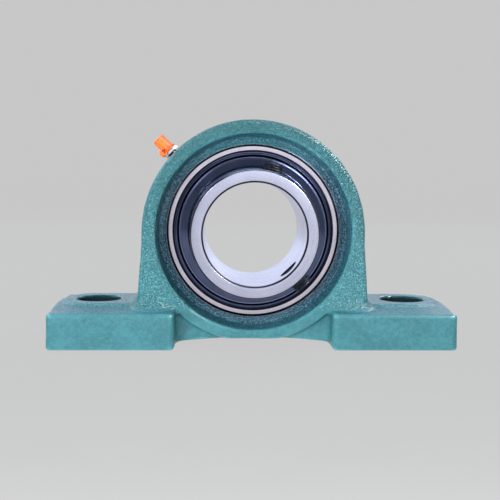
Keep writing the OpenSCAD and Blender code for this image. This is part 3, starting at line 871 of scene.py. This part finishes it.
def painted_casting():
    """Teal enamel over a sand-cast skin, and bare iron on the machined seat and underside."""
    m = Recipe("painted_casting", Coat_Weight=0.38, Coat_Roughness=0.14, Specular_IOR_Level=0.25)
    zone = casting_zones(m)
    pebbles = m.cells(920)
    grit = m.noise(1500, 3.0, 0.65)
    slow = m.plus(m.times(m.noise(70, 3.0, 0.55), 0.5), m.times(m.noise(480, 2.0), 0.5))
    streaks = m.noise(420, 2.0, 0.6, stretch=(1, 1, 0.12))
    edges = m.step(m.pointiness(), 0.512, 0.56)
    corners = m.step(m.pointiness(), 0.44, 0.492, 1, 0)

    # Grain: full above the feet, faint on them, and worn off along the edges
    grain = m.times(m.plus(pebbles, m.times(grit, 0.8)), m.step(zone["above_foot"], 0, 1, 0.14, 1.0))
    relief = m.times(m.plus(grain, m.times(streaks, 0.12)), m.step(edges, 0, 0.6, 1.0, 0.04))

    # Ground colour, painted lighter on the legs, a painted reflection on the upward pad faces and painted shade on
    # the top; then the grain's hollows, painted glints and pits
    tone = m.mix(m.step(slow, 0.38, 0.62), ENAMEL_DARK, ENAMEL_LIGHT)
    tone = m.mix(m.times(zone["legs"], 0.4), tone, ENAMEL_LEGS_LIT)
    tone = m.mix(m.times(zone["up"], zone["pad"]), tone, ENAMEL_PAD_REFLECTION)
    tone = m.mix(zone["top"], tone, ENAMEL_TOP_SHADE)
    hollows = m.times(m.step(pebbles, 0.25, 0.8), m.step(zone["above_foot"], 0, 1, 0.1, 0.6))
    tone = m.mix(hollows, tone, ENAMEL_HOLLOW)
    speckle = m.noise(1500, 1.0, 0.5)
    patches = m.step(m.noise(30, 2.0), 0.3, 0.7, 0.3, 0.75)
    # Painted glints: light dots in the grain, stronger low down
    glints = m.times(m.times(m.step(speckle, 0.56, 0.70), zone["above_foot"]), patches)
    tone = m.mix(m.times(glints, zone["low_down"]), tone, ENAMEL_GLINT)
    pits = m.times(m.step(m.noise(1350, 1.0, 0.5), 0.44, 0.32), zone["above_foot"])
    tone = m.mix(m.times(pits, m.times(zone["low_down"], 0.6)), tone, ENAMEL_PIT)
    # Convex edges painted lighter: a painted highlight, with some wear
    tone = m.mix(m.times(edges, 0.38), tone, ENAMEL_EDGE_WEAR_AND_HIGHLIGHT)
    # Concave corners painted darker: painted shade
    tone = m.mix(m.times(corners, 0.6), tone, ENAMEL_CORNER_SHADE)

    # Painted shade in the recess, where less paint reached as well, darker navy painted shade beside the ring, and
    # shade in the bolt slots
    thin_and_shaded = m.mix(m.step(grit, 0.42, 0.66), THIN_SHADE_DARK, THIN_SHADE_LIGHT)
    tone = m.mix(m.times(zone["recess"], 0.85), tone, thin_and_shaded)
    # Navy next to the ring: painted shade
    navy = m.mix(m.step(grit, 0.46, 0.66), NAVY_SHADE_DARK, NAVY_SHADE_LIGHT)
    tone = m.mix(m.times(zone["beside_ring"], zone["recess"]), tone, navy)
    tone = m.mix(m.times(zone["slot"], 0.85), tone, ENAMEL_SLOT)

    iron = m.mix(m.noise(350, 2), IRON_DARK, IRON_LIGHT)
    m.put(m.shader.inputs["Coat Normal"], m.bump(relief, 0.00022))
    return m.finish(m.mix(zone["bare"], tone, iron), m.step(grit, 0.3, 0.7, 0.22, 0.38),
                    m.bump(relief, 0.0006), m.times(zone["bare"], 0.9))


def turned_steel(name, low, high, tint_and_shade, bands, rough=(0.2, 0.34), lines=0.00001):
    """Ground steel with fine circular lines round the shaft, darkened in bands of (inner, outer) radius: a
    brownish tint on the inner ring's chamfers, painted shade at the outer ring's face edges.
    """
    m = Recipe(name, Metallic=1.0)
    radius = m.shaft_radius()
    _, y, _ = m.axes()
    track = m.combine(radius, m.math("DIVIDE", y, MM), 0.0)
    lay = m.noise(9.0, 3.0, 0.65, vector=track)
    cloud = m.noise(90, 2.0)
    color = m.mix(m.step(m.plus(m.times(lay, 0.6), m.times(cloud, 0.4)), 0.35, 0.65), low, high)
    for inner, outer in bands:
        band = m.times(m.step(radius, inner, inner + 0.08), m.step(radius, outer - 0.15, outer, 1, 0))
        color = m.mix(m.times(band, 0.95), color, tint_and_shade)
    return m.finish(color, m.step(lay, 0.3, 0.7, *rough), m.bump(lay, lines))


def polished_steel(name, low, high, rough, shaded_to=None):
    """Drawn or plated steel, with painted shade up to a distance from the shaft if one is given."""
    m = Recipe(name, Metallic=1.0)
    cloud = m.noise(220, 3.0, 0.6)
    scratches = m.noise(60, 2.0, 0.5, stretch=(1, 40, 6))
    color = m.mix(m.step(cloud, 0.3, 0.7), low, high)
    if shaded_to:
        # Painted shade on the thread just below the nipple's hexagon, where it meets the casting
        shade_band = m.step(m.shaft_radius(), shaded_to, shaded_to + 0.15, 0.95, 0)
        color = m.mix(shade_band, color, (0.012, 0.012, 0.016))
    return m.finish(color, m.step(scratches, 0.3, 0.75, *rough), m.bump(scratches, 0.000004))


def coated_steel():
    """Glossy blue-black skin on the pressed seal cups and flingers, which mirrors the room dimly."""
    m = Recipe("coated_steel", Metallic=1.0)
    radius = m.shaft_radius()
    lay = m.noise(3.0, 2.0, vector=m.combine(radius, 0.0, 0.0))
    speck = m.noise(900, 2.0, 0.7)
    color = m.mix(m.step(m.noise(120, 2.0), 0.3, 0.7), (0.095, 0.118, 0.225), (0.125, 0.152, 0.275))
    color = m.mix(m.step(speck, 0.66, 0.76, 0, 0.3), color, (0.20, 0.23, 0.34))

    # Painted shade in the gap between flinger and cup, and a painted highlight along the flinger's rolled rim
    gap = m.times(m.step(radius, FLINGER_R - 0.2, FLINGER_R - 0.05),
                  m.step(radius, SEAL_RIM_R + 0.2, SEAL_RIM_R + 0.4, 1, 0))
    color = m.mix(m.times(gap, 0.9), color, (0.012, 0.014, 0.026))
    # Painted highlight along the rolled rim
    rim_highlight = m.times(m.step(radius, FLINGER_R - 0.95, FLINGER_R - 0.8),
                    m.step(radius, FLINGER_R - 0.3, FLINGER_R - 0.2, 1, 0))
    color = m.mix(m.times(rim_highlight, 0.8), color, (0.34, 0.37, 0.46))
    height = m.plus(m.times(lay, 0.6), m.times(speck, 0.3))
    return m.finish(color, m.step(speck, 0.3, 0.7, 0.12, 0.18), m.bump(height, 0.000006))


def seal_rubber():
    """Matt black moulded rubber."""
    m = Recipe("seal_rubber")
    fine = m.noise(700, 3.0)
    return m.finish(m.mix(fine, (0.010, 0.010, 0.011), (0.030, 0.030, 0.032)),
                    m.step(fine, 0.3, 0.7, 0.55, 0.75), m.bump(fine, 0.00003))


def black_oxide():
    """Black oxide, worn bright on its edges, with painted glints in patches on the point that faces the bore."""
    m = Recipe("black_oxide_steel", Metallic=0.85)
    patch = m.noise(420, 3.0, 0.6)
    worn = m.step(m.pointiness(), 0.54, 0.66)
    color = m.mix(m.step(patch, 0.35, 0.7), (0.022, 0.023, 0.030), (0.070, 0.074, 0.098))
    color = m.mix(m.times(worn, 0.7), color, (0.30, 0.31, 0.36))
    # Painted glints in patches on the point that faces the bore
    point = m.step(m.shaft_radius(), BORE_R + 0.7, BORE_R + 1.6, 0.6, 0)
    color = m.mix(m.times(point, m.step(patch, 0.4, 0.55)), color, (0.42, 0.43, 0.50))
    return m.finish(color, m.step(patch, 0.3, 0.7, 0.28, 0.5), m.bump(patch, 0.00002))


def orange_plastic():
    """Soft moulded polyethylene, slightly cloudy, with a matt moulded skin."""
    m = Recipe("orange_plastic", Subsurface_Weight=0.25, Subsurface_Scale=0.0015, IOR=1.5)
    m.shader.inputs["Subsurface Radius"].default_value = (1.0, 0.35, 0.1)
    skin_grain = m.noise(1400, 3.0, 0.6)
    cloud = m.noise(260, 2.0)
    color = m.mix(m.step(cloud, 0.3, 0.7), (0.88, 0.135, 0.022), (0.96, 0.19, 0.038))
    return m.finish(color, m.step(skin_grain, 0.3, 0.7, 0.28, 0.42), m.bump(skin_grain, 0.00003))


def studio_surface():
    """Pale paper with an even glow, brighter behind the unit and dimmer round the rest of the room."""
    m = Recipe("studio_surface", Specular_IOR_Level=0.0)
    x, y, _ = m.axes()
    speck = m.noise(40, 2.0)
    aside = m.math("SUBTRACT", m.math("ABSOLUTE", x), m.times(m.plus(y, 0.5), 0.4))
    lit = m.times(m.step(aside, 0.3, 1.1, 1, 0), m.step(y, -0.75, -0.25))
    m.shader.inputs["Emission Color"].default_value = (1, 1, 1, 1)
    m.put(m.shader.inputs["Emission Strength"], m.step(lit, 0, 1, 0.26, 0.565))
    return m.finish(m.mix(speck, (0.020, 0.020, 0.020), (0.024, 0.024, 0.024)), 0.9)


# ---- Assembly ----

STEEL = turned_steel("bearing_steel", (0.63, 0.645, 0.85), (0.78, 0.80, 1.0), (0.022, 0.012, 0.010),
                     [(BORE_R + 0.02, BORE_R + 0.95), (INNER_R - 0.75, INNER_R - 0.02)])
# The outer ring's dark bands are painted shade in the gaps at both edges of its face
OUTER_STEEL = turned_steel("bearing_steel", (0.68, 0.64, 0.75), (0.84, 0.79, 0.92), (0.030, 0.026, 0.034),
                           [(SEAT_IN_R - 0.2, SEAT_IN_R + 0.75), (FACE_R, OUTER_R - 0.5)])
BALL_STEEL = polished_steel("ball_steel", (0.78, 0.78, 0.80), (0.86, 0.86, 0.88), (0.04, 0.10))
CAGE_STEEL = polished_steel("cage_steel", (0.40, 0.38, 0.33), (0.56, 0.54, 0.48), (0.28, 0.45))
RIVET_STEEL = polished_steel("rivet_steel", (0.46, 0.45, 0.43), (0.62, 0.61, 0.58), (0.25, 0.42))
ZINC = polished_steel("zinc_plated_steel", (0.80, 0.83, 0.88), (0.92, 0.94, 0.97), (0.16, 0.30),
                      shaded_to=HEX_LOW + 0.35)
PIN_STEEL = polished_steel("bearing_steel", (0.62, 0.63, 0.66), (0.74, 0.75, 0.79), (0.14, 0.26))
SPRING_STEEL = polished_steel("spring_steel", (0.45, 0.46, 0.48), (0.62, 0.63, 0.66), (0.2, 0.35))
COATED = coated_steel()
RUBBER = seal_rubber()
OXIDE = black_oxide()
ORANGE = orange_plastic()


def dress(obj, material):
    """Gives a piece its material."""
    obj.data.materials.clear()
    obj.data.materials.append(material)


def place_piece(obj, body, material):
    """Dresses a piece and lets it ride on a body."""
    dress(obj, material)
    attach(obj, body)


place_piece(casting(), "housing", painted_casting())
place_piece(outer_ring(), "outer_ring", OUTER_STEEL)
place_piece(inner_ring(), "inner_ring", STEEL)
for side, flip in (("front", list), ("rear", mirror_front)):
    place_piece(seal_cup(side, flip), "outer_ring", COATED)
    place_piece(seal_lip(side, flip), "outer_ring", RUBBER)
    place_piece(flinger(side, flip), "inner_ring", COATED)
for name, axis in SCREW_AXES.items():
    place_piece(set_screw(name, axis), name, OXIDE)
place_piece(nipple_body(), "housing", ZINC)
spring, spring_seat, keep = nipple_spring()
place_piece(spring, "housing", SPRING_STEEL)
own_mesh(spring)
place_piece(dust_cap(), "dust_cap", ORANGE)

# The strap, from the nipple's foot up to the cap, gets its finish and stays where it was built
strap = cap_strap()
dress(strap, ORANGE)
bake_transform(strap)

# Nodes whose CAD shape is already right only get their finish
for name, node in frame["nodes"].items():
    for prefix, material in (("ball_", BALL_STEEL), ("cage_", CAGE_STEEL), ("cage_rivets", RIVET_STEEL),
                             ("nipple_valve_ball", BALL_STEEL), ("stop_pin", PIN_STEEL)):
        if name.startswith(prefix):
            dress(node, material)


# ---- Studio ----

def sweep():
    """Round paper floor that curves up all the way round, so every side has the same backdrop."""
    flat, bend, height, segments = 1.6, 0.6, 1.5, 96
    profile = [(0.0, 0.0), (flat * 0.5, 0.0), (flat, 0.0)]
    for a in np.radians(np.arange(5, 91, 5)):
        profile.append((flat + bend * math.sin(a), bend - bend * math.cos(a)))
    profile.append((flat + bend, height))
    points = [(0.0, 0.0, 0.0)]
    for radius, z in profile[1:]:
        points += [(radius * math.cos(a), radius * math.sin(a), z)
                   for a in np.linspace(0, TAU, segments, endpoint=False)]
    faces = [(0, 1 + i, 1 + (i + 1) % segments) for i in range(segments)]
    for ring in range(len(profile) - 2):
        start = 1 + ring * segments
        for i in range(segments):
            n = (i + 1) % segments
            faces.append((start + i, start + segments + i, start + segments + n, start + n))
    mesh = bpy.data.meshes.new("studio_sweep")
    mesh.from_pydata(points, [], faces)
    mesh.shade_smooth()
    obj = bpy.data.objects.new("studio_sweep", mesh)
    bpy.context.scene.collection.objects.link(obj)
    obj.data.materials.append(studio_surface())


def soft_box(name, location, target, size, glow, color=(1, 1, 1), in_gloss=True, in_diffuse=True):
    """Rectangular light of the given radiance that the camera itself does not see."""
    light = bpy.data.lights.new(name, "AREA")
    light.shape = "RECTANGLE"
    light.size, light.size_y = size
    light.energy = glow * math.pi * size[0] * size[1]
    light.color = color
    obj = bpy.data.objects.new(name, light)
    bpy.context.scene.collection.objects.link(obj)
    obj.location = location
    obj.rotation_euler = (Vector(target) - Vector(location)).to_track_quat("-Z", "Y").to_euler()
    obj.visible_camera = False
    obj.visible_glossy = in_gloss
    obj.visible_diffuse = in_diffuse


def camera():
    """Above the shaft's height and a little to the left, looking down at the unit."""
    data = bpy.data.cameras.new("camera")
    obj = bpy.data.objects.new("camera", data)
    bpy.context.scene.collection.objects.link(obj)
    data.sensor_width = 36
    data.lens = 54.94
    yaw, pitch, roll = (math.radians(a) for a in (-2.38, -6.17, -0.59))
    aim = Matrix.Rotation(yaw, 4, "Z") @ Matrix.Rotation(pitch, 4, "X") @ Matrix.Rotation(roll, 4, "Y")
    aim = aim @ Matrix.Rotation(math.radians(90), 4, "X")
    place = (-0.0175, -0.396, 0.0893)
    obj.matrix_world = Matrix.Translation(place) @ aim
    bpy.context.scene.camera = obj


sweep()
camera()

# Broad lights that only brighten, small ones and a card that only or also show in the gloss, and
# blue-tinted ones from behind and above that draw the edges
COOL, SKY = (0.95, 1.0, 1.0), (0.70, 0.90, 1.0)
soft_box("key", (-0.42, -0.75, 0.14), (0, 0, 0.06), (0.5, 0.35), 19, COOL, in_gloss=False)
soft_box("spark", (0.58, -0.47, 0.62), (0, 0, 0.06), (0.26, 0.26), 75, COOL, in_diffuse=False)
soft_box("spark_left", (-0.60, -0.45, 0.55), (0, 0, 0.06), (0.2, 0.2), 14, COOL, in_diffuse=False)
soft_box("fill", (0.55, -0.65, 0.50), (0, 0, 0.06), (0.4, 0.4), 4, COOL, in_gloss=False)
soft_box("card", (0.10, -0.95, 0.15), (0, 0, 0.06), (0.46, 0.5), 0.88, (0.95, 0.97, 1.0))
soft_box("low_front", (0, -0.22, 0.02), (0, 0, 0.03), (0.40, 0.05), 11, COOL, in_gloss=False)
soft_box("behind", (0, 0.75, 0.30), (0, 0, 0.06), (1.5, 0.6), 0.44, (0.64, 0.73, 0.97))
soft_box("rim", (0.55, 0.45, 0.55), (0, 0, 0.08), (0.3, 0.3), 12, SKY)
soft_box("rim_left", (-0.60, 0.40, 0.50), (0, 0, 0.08), (0.3, 0.3), 9, SKY)
soft_box("top", (0, 0.1, 1.1), (0, 0, 0.05), (1.0, 0.8), 2.2, (0.75, 0.90, 1.0))
world = bpy.data.worlds.new("studio")
world.use_nodes = True
world.node_tree.nodes["Background"].inputs["Color"].default_value = (0.15, 0.16, 0.18, 1)
bpy.context.scene.world = world
bpy.context.scene.view_settings.view_transform = "Standard"
